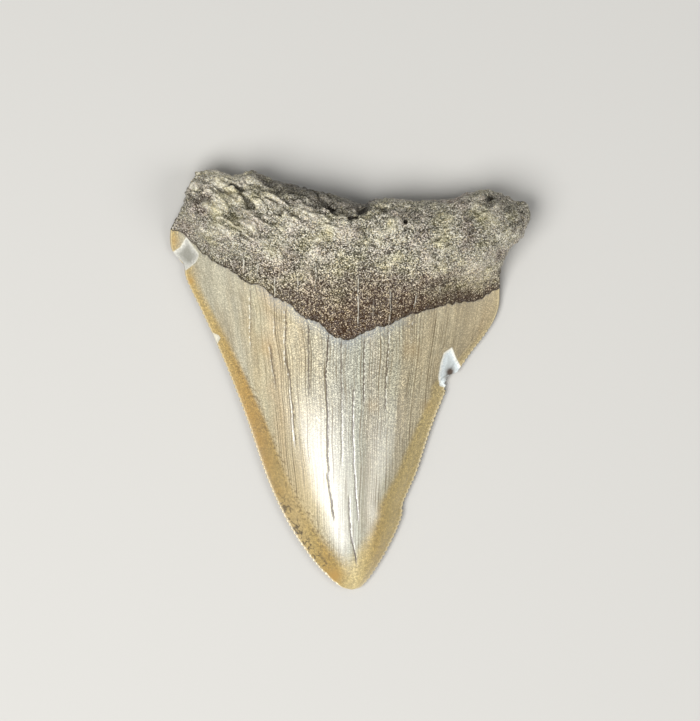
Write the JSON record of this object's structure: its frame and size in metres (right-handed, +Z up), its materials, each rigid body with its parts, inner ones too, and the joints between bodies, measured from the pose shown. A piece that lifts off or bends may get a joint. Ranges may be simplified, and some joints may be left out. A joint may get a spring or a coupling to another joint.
{
  "type": "fossil shark tooth",
  "caption": "Fossil megalodon tooth: a triangular enamel crown with serrated cutting edges on a thick, rough, lobed root, lying flat with its domed inner face up.",
  "frame": {"origin": "under the middle of the tooth's box, on the surface that it lies on", "axes": "+X across the tooth, +Y from the tip towards the root, +Z up out of the domed inner face"},
  "size_m": [0.062, 0.0724, 0.014],
  "materials": {
    "fossil_tooth": "grey-tan enamel polished to a gloss on the crown, dull sugar-grained grey-brown on the root"
  },
  "bodies": {
    "root": {"tooth": "fossil_tooth"}
  },
  "joints": []
}
